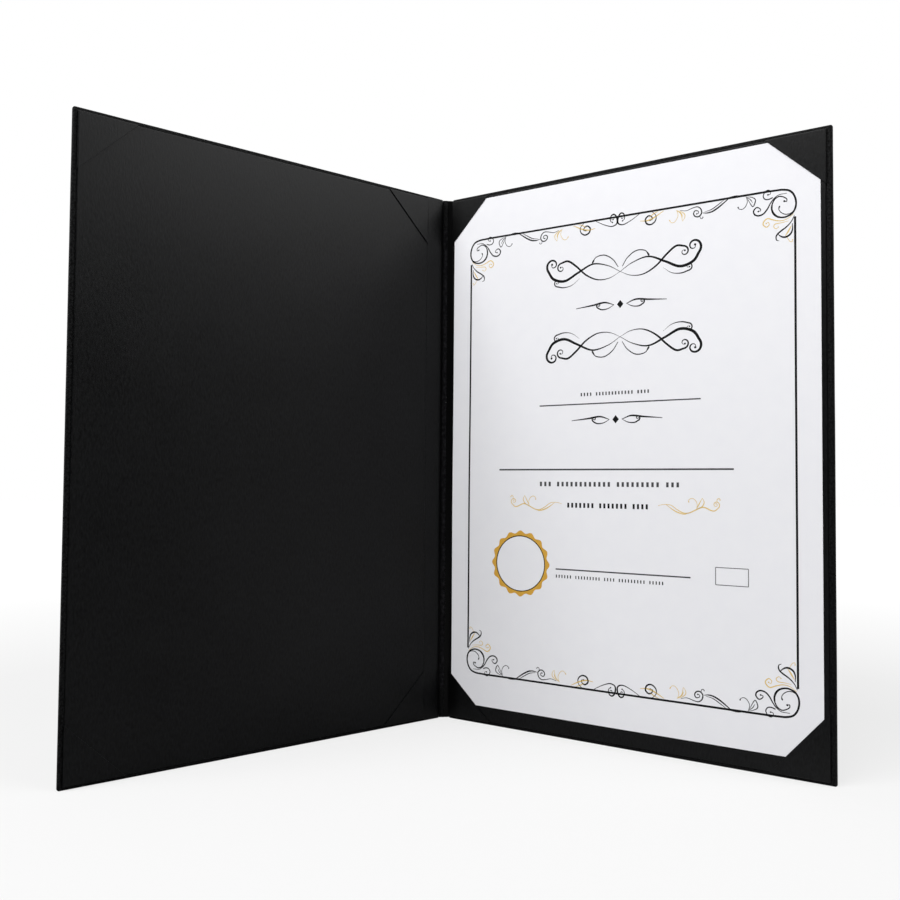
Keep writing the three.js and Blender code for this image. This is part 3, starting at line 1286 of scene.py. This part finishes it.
class PenWork:
    """Pen strokes that become one piece of print on the sheet."""

    def __init__(self, name: str, filled: bool = False) -> None:
        """Starts with no strokes.

        Args:
            name: The piece's name.
            filled: Whether its lines are the outlines of filled shapes.
        """
        self.filled = filled
        self.curve = bpy.data.curves.new(name, "CURVE")
        self.curve.dimensions = "2D"
        self.curve.fill_mode = "BOTH" if filled else "NONE"

    def draw(self, line: Sequence[Point], widths: Sequence[float], closed: bool = False) -> None:
        """Adds a stroke.

        Args:
            line: Its points on the sheet, in millimetres.
            widths: Its width at each point, in millimetres.
            closed: Whether its end joins its start.
        """
        spline = self.curve.splines.new("POLY")
        spline.points.add(len(line) - 1)
        spline.use_cyclic_u = closed
        for point, (x, y), width in zip(spline.points, line, widths):
            point.co = (x * MM, y * MM, 0.0, 1.0)
            point.radius = width

    def stroke(self, stroke: Stroke, lay: Callable[[Point], Point]) -> None:
        """Adds a pen stroke laid on the sheet.

        Args:
            stroke: The stroke.
            lay: Gives a point's place on the sheet.
        """
        line = [lay(point) for point in stroke.path()]
        last = len(line) - 1
        self.draw(line, [stroke.width * stroke.swell.at(index / last) for index in range(last + 1)])
        if stroke.dot:
            self.dot(line[-1], stroke.dot)

    def pair(
        self,
        strokes: Sequence[Stroke],
        spot: Point,
        start: float = 0.0,
        tiers: Sequence[float] = (1.0,),
    ) -> None:
        """Adds strokes to both sides of an upright middle line.

        Args:
            strokes: The strokes.
            spot: The middle line's place and the height that the strokes count from.
            start: How far from the middle line they start.
            tiers: 1 for strokes over that height, -1 for strokes mirrored below it.
        """
        for way in (-1.0, 1.0):
            for tier in tiers:
                for stroke in strokes:
                    self.stroke(stroke, lambda at: (spot[0] + way * (start + at[0]), spot[1] + tier * at[1]))

    def dot(self, spot: Point, radius: float) -> None:
        """Adds a round dot.

        Args:
            spot: Its middle.
            radius: Its radius.
        """
        steps = [math.cos(math.pi * index / DOT_STEPS) for index in range(DOT_STEPS + 1)]
        line = [(spot[0] - radius * step, spot[1]) for step in steps]
        self.draw(line, [max(HAIRLINE, 2.0 * radius * math.sqrt(max(0.0, 1.0 - step**2))) for step in steps])

    def lozenge(self, spot: Point, radius: float) -> None:
        """Adds a small lozenge.

        Args:
            spot: Its middle.
            radius: Half its height.
        """
        steps = [2.0 * index / FEWEST_STEPS - 1.0 for index in range(FEWEST_STEPS + 1)]
        line = [(spot[0], spot[1] + radius * step) for step in steps]
        self.draw(line, [max(LOZENGE_TIP, radius * LOZENGE_BREADTH * (1.0 - abs(step))) for step in steps])

    def rule(self, start: Point, stop: Point, width: float) -> None:
        """Adds a straight rule, in short steps so that it follows the sheet.

        Args:
            start: Its start.
            stop: Its end.
            width: Its width.
        """
        count = max(2, round(math.dist(start, stop) / RULE_STEP))
        line = [
            (start[0] + (stop[0] - start[0]) * index / count, start[1] + (stop[1] - start[1]) * index / count)
            for index in range(count + 1)
        ]
        self.draw(line, [width] * (count + 1))

    def ticks(self, row: TickRow) -> None:
        """Adds a row of plain upright ticks.

        Args:
            row: The row.
        """
        x, y = row.start
        width, height = row.tick
        for count in row.words:
            for _ in range(count):
                self.draw([(x, y - height / 2), (x, y + height / 2)], [width] * 2)
                x += row.pitch
            x += row.pitch * row.gap

    def print_on(self, sheet: Piece, corner: Vector, lift: float, film: float) -> Bench:
        """Turns the strokes into a film of ink that lies on the sheet.

        Args:
            sheet: The sheet, on the bench.
            corner: The sheet's lower left corner on the bench.
            lift: The film's height over the paper.
            film: The film's thickness.

        Returns:
            The bench that holds the film.
        """
        nib = self._nib()
        if not self.filled:
            self.curve.bevel_mode = "OBJECT"
            self.curve.bevel_object = nib
        piece = bpy.data.objects.new(self.curve.name, self.curve)
        bpy.context.scene.collection.objects.link(piece)
        bench = Bench(piece)
        bench.hold()
        bpy.ops.object.convert(target="MESH")
        bench.piece = bpy.context.object
        bench.piece.data.name = bench.piece.name
        bpy.data.objects.remove(nib)
        bench.piece.rotation_euler = UPRIGHT
        bench.piece.location = corner
        bench.settle()
        bench.modify(
            "SHRINKWRAP",
            target=sheet,
            wrap_method="PROJECT",
            use_project_y=True,
            use_negative_direction=False,
            use_positive_direction=True,
            wrap_mode="ABOVE_SURFACE",
            offset=lift,
        )
        bench.thicken(film)
        return bench

    @staticmethod
    def _nib() -> Piece:
        """Makes the flat nib, one millimetre broad, that the strokes are drawn with.

        Returns:
            The nib.
        """
        curve = bpy.data.curves.new("pen_nib", "CURVE")
        curve.dimensions = "2D"
        tip = curve.splines.new("POLY")
        tip.points.add(1)
        for point, x in zip(tip.points, (-MM / 2, MM / 2)):
            point.co = (x, 0.0, 0.0, 1.0)
        nib = bpy.data.objects.new("pen_nib", curve)
        bpy.context.scene.collection.objects.link(nib)
        return nib


# Strokes are in millimetres. The scrolls count along the frame and up from its lower left corner.
CORNER_SCROLLS = (
    Stroke((
        (13.0, 0.0), (9.0, 0.1), (5.6, 0.3), (2.5, 1.3), (0.5, 3.6), (-0.45, 6.8), (-0.2, 9.9), (1.2, 12.3),
        (3.1, 13.4), (5.4, 13.8), (8.1, 13.2), (10.1, 11.6), (11.05, 9.2), (10.9, 6.9), (9.7, 4.5), (7.7, 3.3),
        (5.8, 3.7), (4.0, 4.9), (3.95, 6.2), (5.0, 6.0),
    ), 1.0, Swell.START, dot=0.5),
    Stroke(((3.0, 13.1), (5.4, 13.6), (8.0, 13.0), (9.8, 11.4), (10.7, 9.2), (10.6, 6.9)), 0.55),
    Stroke(
        ((0.3, 10.6), (0.9, 11.6), (2.7, 12.5), (4.7, 12.4), (6.6, 11.2), (7.6, 9.5), (7.2, 7.9)), 0.52, Swell.KNOB
    ),
    Stroke(((1.3, 17.3), (1.2, 20.0), (2.0, 22.1), (3.6, 23.3), (5.4, 23.5), (7.0, 22.7), (8.0, 21.7)), 0.9),
    Stroke(
        ((0.3, 13.6), (1.7, 16.3), (4.0, 18.6), (6.8, 20.4), (8.3, 21.6), (9.0, 22.9), (8.8, 24.4), (7.6, 25.0)), 0.75
    ),
    Stroke((
        (3.8, 2.3), (7.7, 2.5), (10.1, 4.1), (11.7, 6.1), (13.3, 8.8), (15.2, 10.7), (17.6, 11.2), (19.4, 10.2),
        (19.8, 8.45), (18.4, 7.0), (16.8, 7.7), (16.4, 8.8), (17.5, 9.1),
    ), 0.75, dot=0.42),
    Stroke((
        (10.5, 3.3), (12.5, 3.9), (14.2, 3.55), (15.1, 2.1), (14.7, 0.7), (13.6, -0.5), (12.3, -0.6), (11.5, 0.4),
        (11.8, 1.5), (12.8, 1.6),
    ), 0.58, Swell.START, dot=0.4),
    Stroke(((23.1, 0.95), (21.9, 3.7), (20.2, 6.2), (19.0, 4.1), (19.2, 2.5), (21.2, 1.3), (23.1, 0.95)), 0.5),
    Stroke(((23.0, 1.2), (21.4, 2.5), (20.3, 4.4)), 0.4),
    Stroke(((23.7, 0.0), (22.9, 3.3), (23.9, 5.7), (25.5, 6.7), (27.1, 6.2), (27.6, 5.1)), 0.45, Swell.KNOB),
    Stroke(((45.6, 5.3), (43.3, 5.7), (40.5, 5.3), (37.3, 3.7), (33.8, 1.3), (31.0, -0.6)), 0.82),
    Stroke(((44.6, 5.0), (40.9, 4.2), (37.3, 2.2), (34.2, 0.2)), 0.48),
    Stroke(((32.0, -0.5), (28.3, -0.6), (24.3, 0.2)), 0.36),
    Stroke((
        (57.6, 2.1), (54.3, 2.8), (51.1, 2.0), (48.4, 1.7), (46.6, 3.1), (46.2, 5.3), (47.6, 6.8), (49.4, 6.55),
        (50.4, 5.05), (49.6, 3.6), (48.0, 4.0), (47.8, 5.05), (48.7, 5.3),
    ), 0.66, dot=0.4),
    Stroke(((47.0, 6.6), (46.8, 7.8), (45.8, 8.1), (45.4, 7.3)), 0.45, Swell.KNOB),
    Stroke((
        (73.0, 0.2), (70.8, 2.6), (71.0, 5.3), (73.3, 7.0), (75.8, 6.3), (76.6, 3.9), (74.9, 2.3), (73.2, 2.9),
        (72.8, 4.4), (74.0, 4.7),
    ), 0.84, dot=0.42),
    Stroke((
        (80.0, 0.5), (84.5, 3.0), (88.6, 4.6), (91.0, 4.4), (92.2, 3.4), (92.4, 1.9), (92.1, 0.4), (91.4, -1.0),
        (90.3, -1.7), (89.0, -1.1), (88.4, 0.5), (88.7, 1.9), (89.65, 2.6),
    ), 0.85, dot=0.4),
    Stroke(((89.0, 0.9), (90.0, 1.2), (90.6, 0.6)), 0.5),
)
GOLD_SCROLLS = (
    Stroke((
        (0.6, 12.8), (3.8, 14.8), (6.9, 15.3), (10.1, 14.4), (12.9, 13.3), (14.6, 14.2), (15.2, 15.9),
        (13.7, 17.4), (12.3, 16.5), (12.7, 15.2), (13.7, 15.6),
    ), 0.58, dot=0.35),
    Stroke(((3.0, 15.9), (6.2, 16.3), (9.3, 16.5), (10.1, 17.8), (8.9, 18.9), (7.9, 18.2)), 0.42, dot=0.3),
    Stroke(((3.8, 23.8), (2.6, 25.8), (1.4, 26.2), (1.3, 25.0)), 0.36, Swell.KNOB),
    Stroke(((4.6, 23.0), (3.2, 20.9), (1.7, 18.4)), 0.7),
    Stroke(((59.7, 1.8), (57.1, 4.0), (56.3, 7.9)), 0.46),
    Stroke(((59.7, 1.8), (56.9, 2.9), (55.1, 4.6), (55.2, 6.4), (56.3, 7.9)), 0.42),
    Stroke(((58.3, 2.6), (57.0, 3.7), (56.1, 5.6)), 0.36),
    Stroke(((59.2, 2.2), (58.7, 4.8), (60.3, 7.5), (62.2, 7.8), (63.5, 6.2)), 0.38, Swell.KNOB),
    Stroke(((66.5, 0.9), (70.1, 2.8), (73.4, 4.2), (76.2, 4.7), (79.6, 4.3)), 0.75),
    Stroke(((69.5, 0.6), (72.0, 1.6), (74.5, 3.2)), 0.5),
)
# The side flourish counts outwards from its inner end.
SIDE_FLOURISH = (
    Stroke((
        (0.0, 0.4), (3.0, 1.1), (6.9, 0.8), (10.3, -1.4), (13.6, -3.0), (16.6, -2.9), (19.9, -1.4),
        (22.8, -0.1), (24.8, -0.1), (27.7, -1.4), (29.7, -1.6), (31.5, -0.2),
    ), 0.6, dot=0.3, curl=Curl(2.0, 0.5, 1.4, 1)),
    Stroke(((4.3, 1.1), (7.7, -1.3), (10.7, -2.8), (14.1, -3.6), (16.6, -2.7)), 0.62),
    Stroke(((20.3, -1.0), (21.7, 1.6), (23.4, 4.7)), 0.5),
    Stroke(((20.3, -1.0), (23.0, 0.2), (24.3, 2.4), (23.4, 4.7)), 0.5),
    Stroke(((20.5, -0.8), (20.7, 1.6), (19.5, 3.8), (17.8, 4.4), (16.4, 3.6), (16.4, 2.3)), 0.4, Swell.KNOB),
    Stroke(((30.9, 2.8), (30.9, 4.0), (31.9, 4.6), (32.5, 3.6)), 0.45, Swell.KNOB),
)
# The title's flourish and the divider count outwards and up from their middle.
TITLE_FLOURISH = (
    Stroke(
        ((0.0, 17.5), (7.0, 21.5), (16.0, 23.5), (25.0, 19.8), (33.0, 16.2), (40.0, 18.0), (43.6, 23.0)),
        1.5, Swell.FINE, dot=0.6, curl=Curl(4.4, 0.9, 1.2, 1),
    ),
    Stroke(
        ((0.0, 17.5), (6.0, 14.8), (13.0, 14.6), (20.0, 18.0), (26.0, 23.5), (31.0, 27.0), (35.4, 26.4)),
        1.1, Swell.FINE, dot=0.5, curl=Curl(2.9, 0.7, 1.1),
    ),
    Stroke(((1.2, 20.2), (4.2, 24.5), (9.0, 27.5), (14.0, 27.0), (16.4, 24.0)), 0.7, Swell.KNOB),
    Stroke(
        ((24.0, 16.6), (28.6, 13.4), (33.6, 12.6), (38.0, 13.6)),
        0.7, Swell.FINE, dot=0.4, curl=Curl(2.2, 0.6, 1.1, 1),
    ),
)
DIVIDER = (
    Stroke(((3.6, 0.0), (9.0, 1.7), (16.0, 0.9), (26.0, 0.0)), 0.95),
    Stroke(((3.6, 0.0), (7.0, -1.7), (10.6, -2.0), (13.0, -0.9)), 0.75, dot=0.32, curl=Curl(1.5, 0.4, 1.1, 1)),
)


@dataclass(frozen=True)
class TickRow:
    """A row of plain upright ticks where small print goes.

    It has its start at half its height, how many ticks stand together, their pitch, a tick's width and height, and
    the gap between words in pitches.
    """

    start: Point
    words: tuple[int, ...]
    pitch: float
    tick: Point
    gap: float = 0.9


BLACK_ROWS = (
    TickRow((76.6, 117.3), (7, 7, 4), 2.42, (1.15, 2.6)),
    TickRow((69.4, 78.2), (6, 9, 4, 9, 5), 1.72, (0.62, 1.7)),
)
GREY_ROWS = (
    TickRow((84.4, 177.6), (4, 12, 4), 1.85, (0.8, 1.8)),
    TickRow((59.6, 128.8), (3, 12, 9, 3), 2.76, (1.3, 2.5)),
)


@dataclass
class Certificate(Group):
    """The printed sheet in the back cover's pockets. Places on it are in millimetres from its lower left corner."""

    size: Point = (210.0, 297.0)
    fore_trim: float = 1.0
    tail_trim: float = 0.6
    head_trim: float = 0.7
    hinge_play: float = 2.8 * MM
    tail_play: float = 9.8 * MM
    cells: tuple[int, int] = (63, 90)
    swells: tuple[tuple[Point, float, float], ...] = (  # middle, rise and reach
        ((100.0, 24.0), 0.30, 62.0),
        ((104.0, 150.0), 0.34, 95.0),
        ((6.0, 120.0), 0.26, 70.0),
        ((206.0, 170.0), 0.22, 80.0),
        ((110.0, 285.0), 0.16, 55.0),
    )
    swell_grip: float = 2.4 * MM
    frame_corners: tuple[Point, ...] = ((11.6, 18.95), (197.4, 18.95), (197.3, 272.2), (12.2, 272.2))
    frame_gaps: Point = (12.9, 14.2)
    frame_drift: float = 0.0076
    frame_width: float = 1.05
    title_spot: Point = (107.0, 225.0)
    name_spot: Point = (104.6, 163.5)
    lozenge: float = 2.2
    flourish_spot: Point = (100.4, 117.6)
    flourish_start: float = 27.8
    rules: tuple[tuple[float, float, float, float], ...] = (  # start, end, height and width
        (58.5, 150.9, 172.4, 0.68),
        (32.5, 167.5, 136.8, 0.87),
        (68.9, 145.4, 82.1, 0.72),
    )
    box: tuple[float, float, float, float] = (158.2, 79.4, 174.4, 88.0)  # left, foot, right and head
    box_line: float = 0.36
    seal_spot: Point = (46.5, 83.9)
    seal_inner: float = 15.5
    seal_ring: float = 0.55
    seal_radius: float = 17.1
    seal_crest: float = 1.5
    seal_points: int = 16
    crest_steps: int = 12
    print_room: float = 10.0 * MM
    lift: float = 0.02 * MM
    film: float = 0.02 * MM

    def build(self) -> None:
        """Builds and dresses the sheet and its print."""
        sheet = self._sheet()
        corner = Vector((self.hinge_play, -self.print_room, self.tail_play))
        prints = (
            (self._black_print(), BLACK_INK),
            (self._grey_print(), GREY_INK),
            (self._gold_print(), GOLD_INK),
            (self._seal(), SEAL_INK),
        )
        films = [(work.print_on(sheet.piece, corner, self.lift, self.film), finish) for work, finish in prints]
        self._put(sheet, SHEET_PAPER, "certificate")
        for bench, finish in films:
            self._put(bench, finish)

    def flat(self, spot: Vector) -> Point:
        """Gives a point's place on the flat back cover, in millimetres."""
        return STACK.unrolled(Side.BACK, spot)

    def _put(self, bench: Bench, finish: Finish, *nodes: str) -> None:
        """Puts a piece on the back cover, riding with the sheet."""
        bench.place(STACK.turn(Side.BACK), STACK.hinge(Side.BACK))
        self.keep(bench, finish, "certificate_paper", *nodes, body="certificate")

    def _sheet(self) -> Bench:
        """Makes the sheet, with the slight waves of paper that is held at its corners.

        Returns:
            The bench that holds it.
        """
        depth = STACK.sheet_bottom + STACK.sheet_thickness / 2
        width = (self.size[0] - self.fore_trim) * MM
        height = (self.size[1] - self.tail_trim - self.head_trim) * MM
        tail = self.tail_play + self.tail_trim * MM
        spot = Vector((self.hinge_play + width / 2, -depth, tail + height / 2))
        along, up = self.cells
        bench = Bench.made(
            "printed_sheet",
            bpy.ops.mesh.primitive_grid_add,
            (width, height, 1.0),
            x_subdivisions=along,
            y_subdivisions=up,
            location=spot,
            rotation=UPRIGHT,
        )
        grip = self.swell_grip
        with bench.editing():
            for (x, y), swell, reach in self.swells:
                goal = Vector((self.hinge_play + x * MM, 0.0, self.tail_play + y * MM))
                bench.pick(
                    Part.POINT,
                    lambda point: abs(point.co.x - goal.x) < grip and abs(point.co.z - goal.z) < grip,
                )
                bench.shift((0.0, -swell * MM, 0.0), reach * MM)
        bench.thicken(STACK.sheet_thickness)
        return bench

    def _scrolls(self, work: PenWork, strokes: Sequence[Stroke]) -> None:
        """Draws an ornament at each corner of the frame.

        Args:
            work: The print that it is part of.
            strokes: The ornament's strokes, as they are at the lower left corner.
        """
        for left, foot in self.frame_corners:
            stretch = (1.0 if left < self.size[0] / 2 else -1.0) + self.frame_drift
            rise = 1.0 if foot < self.size[1] / 2 else -1.0
            for stroke in strokes:
                work.stroke(stroke, lambda at: (left + stretch * at[0], foot + rise * at[1]))

    def _frame_lines(self, work: PenWork) -> None:
        """Draws the frame's straight lines between the corners' ornaments.

        Args:
            work: The print that they are part of.
        """
        corners = [Vector(corner) for corner in self.frame_corners]
        for index, start in enumerate(corners):
            stop = corners[(index + 1) % len(corners)]
            gap = (stop - start).normalized() * self.frame_gaps[index % 2]
            work.rule(tuple(start + gap), tuple(stop - gap), self.frame_width)

    def _circle(self, radius: float, crest: float = 0.0) -> list[Point]:
        """Draws a circle round the seal's middle.

        Args:
            radius: Its radius.
            crest: How much farther out the seal's crests reach.

        Returns:
            Its points.
        """
        count = self.seal_points * self.crest_steps
        line: list[Point] = []
        for index in range(count):
            angle = 2.0 * math.pi * index / count
            reach = radius + crest * (0.5 + 0.5 * math.cos(angle * self.seal_points))
            line.append((self.seal_spot[0] + reach * math.cos(angle), self.seal_spot[1] + reach * math.sin(angle)))
        return line

    def _black_print(self) -> PenWork:
        """Draws the frame, its scrolls, the flourishes, the black rows of ticks and the seal's line.

        Returns:
            The print.
        """
        work = PenWork("black_print")
        self._frame_lines(work)
        self._scrolls(work, CORNER_SCROLLS)
        work.pair(TITLE_FLOURISH, self.title_spot, tiers=(-1.0, 1.0))
        for spot in (self.title_spot, self.name_spot):
            work.lozenge(spot, self.lozenge)
            work.pair(DIVIDER, spot)
        for row in BLACK_ROWS:
            work.ticks(row)
        ring = self._circle(self.seal_inner)
        work.draw(ring, [self.seal_ring] * len(ring), closed=True)
        return work

    def _grey_print(self) -> PenWork:
        """Draws the grey rules, the grey rows of ticks and the outlined box.

        Returns:
            The print.
        """
        work = PenWork("grey_print")
        for low, high, height, width in self.rules:
            work.rule((low, height), (high, height), width)
        for row in GREY_ROWS:
            work.ticks(row)
        left, foot, right, head = self.box
        corners = ((left, foot), (right, foot), (right, head), (left, head), (left, foot))
        for start, stop in zip(corners, corners[1:]):
            work.rule(start, stop, self.box_line)
        return work

    def _gold_print(self) -> PenWork:
        """Draws the gold scrolls of the frame and the two side flourishes.

        Returns:
            The print.
        """
        work = PenWork("gold_print")
        self._scrolls(work, GOLD_SCROLLS)
        work.pair(SIDE_FLOURISH, self.flourish_spot, start=self.flourish_start)
        return work

    def _seal(self) -> PenWork:
        """Draws the seal's scalloped ring.

        Returns:
            The print.
        """
        work = PenWork("seal_print", filled=True)
        inner = self.seal_inner + self.seal_ring / 2
        for line in (self._circle(self.seal_radius, self.seal_crest), self._circle(inner)):
            work.draw(line, [1.0] * len(line), closed=True)
        return work


@dataclass(frozen=True)
class Lamp:
    """A soft lamp: its name, where it hangs, what it points at, its width and height, and its power in watts."""

    name: str
    spot: Spot
    aim: Spot
    size: Point
    power: float

    def hang(self) -> None:
        """Hangs the lamp."""
        data = bpy.data.lights.new(self.name, "AREA")
        data.shape = "RECTANGLE"
        data.size, data.size_y = self.size
        data.energy = self.power
        lamp = bpy.data.objects.new(self.name, data)
        lamp.location = self.spot
        lamp.rotation_euler = (Vector(self.aim) - Vector(self.spot)).to_track_quat("-Z", "Y").to_euler()
        bpy.context.scene.collection.objects.link(lamp)


@dataclass
class Studio:
    """The pale floor, the soft lamps and the camera."""

    lens: float = 37.18
    sensor: float = 36.0
    nearest: float = 0.01
    camera_spot: Spot = (-0.020929, -0.491030, 0.137851)
    yaw: float = math.radians(2.405)
    pitch: float = math.radians(2.1298)
    roll: float = math.radians(0.4564)
    sky: float = 0.31
    front_room: float = 0.02
    backdrop_range: Point = (-0.52, -0.36)
    mirror_spot: Spot = (-0.12, 0.0, 0.0)
    mirror_range: Point = (0.08, 0.3)
    floor_size: float = 12.0
    floor_paint: float = 0.30
    seen_paint: float = 0.17
    glow_range: Point = (0.35, 1.2)
    glow: Point = (0.71, 1.0)
    lamps: tuple[Lamp, ...] = (
        Lamp("overhead_softbox", (-0.62, -0.60, 1.17), (0.0, -0.03, 0.20), (1.1, 0.8), 22.0),
        Lamp("right_softbox", (1.05, -0.50, 1.05), (-0.1, 0.0, 0.25), (0.9, 0.7), 10.6),
    )

    def build(self) -> None:
        """Sets the stage round the folder."""
        bpy.context.scene.view_settings.view_transform = "Standard"
        self._camera()
        self._floor()
        self._world()
        for lamp in self.lamps:
            lamp.hang()

    def _camera(self) -> None:
        """Places the camera."""
        data = bpy.data.cameras.new("camera")
        data.lens = self.lens
        data.sensor_width = self.sensor
        data.clip_start = self.nearest
        camera = bpy.data.objects.new("camera", data)
        bpy.context.scene.collection.objects.link(camera)
        bpy.context.scene.camera = camera
        place = Matrix.Translation(self.camera_spot)
        for angle, axis in ((-self.yaw, "Z"), (math.pi / 2 + self.pitch, "X"), (self.roll, "Z")):
            place = place @ Matrix.Rotation(angle, 4, axis)
        camera.matrix_world = place

    def _floor(self) -> None:
        """Lays the pale floor."""
        bpy.ops.object.select_all(action="DESELECT")
        bpy.ops.mesh.primitive_grid_add(x_subdivisions=8, y_subdivisions=8, size=self.floor_size)
        floor = bpy.context.object
        floor.name = "floor"
        paint = bpy.data.materials.new("pale_floor")
        paint.use_nodes = True
        recipe = Recipe(paint.node_tree)
        spot = recipe.place("Object")
        from_cover = recipe.vector("SUBTRACT", "Vector", spot, self.mirror_spot)
        way = recipe.vector("NORMALIZE", "Vector", from_cover)
        away = recipe.ramp(recipe.vector("LENGTH", "Value", from_cover), self.mirror_range)
        seen = self._seen(recipe, self._backdrop(recipe, way) * away)
        rise = recipe.ramp(recipe.vector("LENGTH", "Value", spot), self.glow_range, self.glow)
        colour = recipe.mixed(seen, grey(self.floor_paint), grey(self.seen_paint))
        lit = recipe.node("ShaderNodeBsdfDiffuse", None, {"Color": colour})
        pale = recipe.node("ShaderNodeEmission", None, {"Color": grey(1.0), "Strength": seen * rise})
        recipe.end("Material", recipe.node("ShaderNodeAddShader", None, {0: lit, 1: pale}))
        floor.data.materials.append(paint)

    def _backdrop(self, recipe: Recipe, way: Shade) -> Shade:
        """Tells where the backdrop is.

        Args:
            recipe: The nodes of the floor or the world.
            way: The direction from the folder.

        Returns:
            1 towards the backdrop, 0 towards the room in front.
        """
        back = recipe.node("ShaderNodeSeparateXYZ", None, {0: way}, "Y")
        return recipe.ramp(back, self.backdrop_range, soft=True)

    @staticmethod
    def _seen(recipe: Recipe, backdrop: Shade) -> Shade:
        """Gives 1 to the camera, through glass and where gloss shows the backdrop, and 0 to other light."""
        return recipe.ray("Camera").larger(recipe.ray("Transmission")).larger(recipe.ray("Glossy") * backdrop)

    def _world(self) -> None:
        """Lights the room evenly and shows its backdrop white."""
        world = bpy.data.worlds.new("white_room")
        bpy.context.scene.world = world
        world.use_nodes = True
        recipe = Recipe(world.node_tree)
        seen = self._seen(recipe, self._backdrop(recipe, recipe.place("Generated")))
        level = recipe.ray("Glossy") * (self.front_room - self.sky) + self.sky
        sockets = {"Color": grey(1.0), "Strength": seen.larger(level)}
        recipe.end("World", recipe.node("ShaderNodeBackground", None, sockets))


def main() -> None:
    """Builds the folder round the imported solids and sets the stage."""
    logging.basicConfig(level=logging.INFO, format="%(name)s: %(message)s")
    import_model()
    Studio().build()
    back_legs = {
        "head_hinge": (25.3 * MM, 26.2 * MM),
        "head_fore": (28.4 * MM, 26.2 * MM),
        "tail_hinge": (28.2 * MM, 26.3 * MM),
        "tail_fore": (27.5 * MM, 31.3 * MM),
    }
    front_legs = dict.fromkeys(back_legs, (28.0 * MM, 27.0 * MM))
    front = Cover(Side.FRONT, STACK.front_setback, STACK.margin, front_legs, FRONT_SLOPE)
    back = Cover(Side.BACK, STACK.hinge_setback, 2.6 * MM, back_legs, BACK_SLOPE)
    for group in (front, back, Spine(), Certificate()):
        group.build()
        for piece in group.pieces:
            LOG.info("%s: %d faces", piece.name, len(piece.data.polygons))


if __name__ == "__main__":
    main()
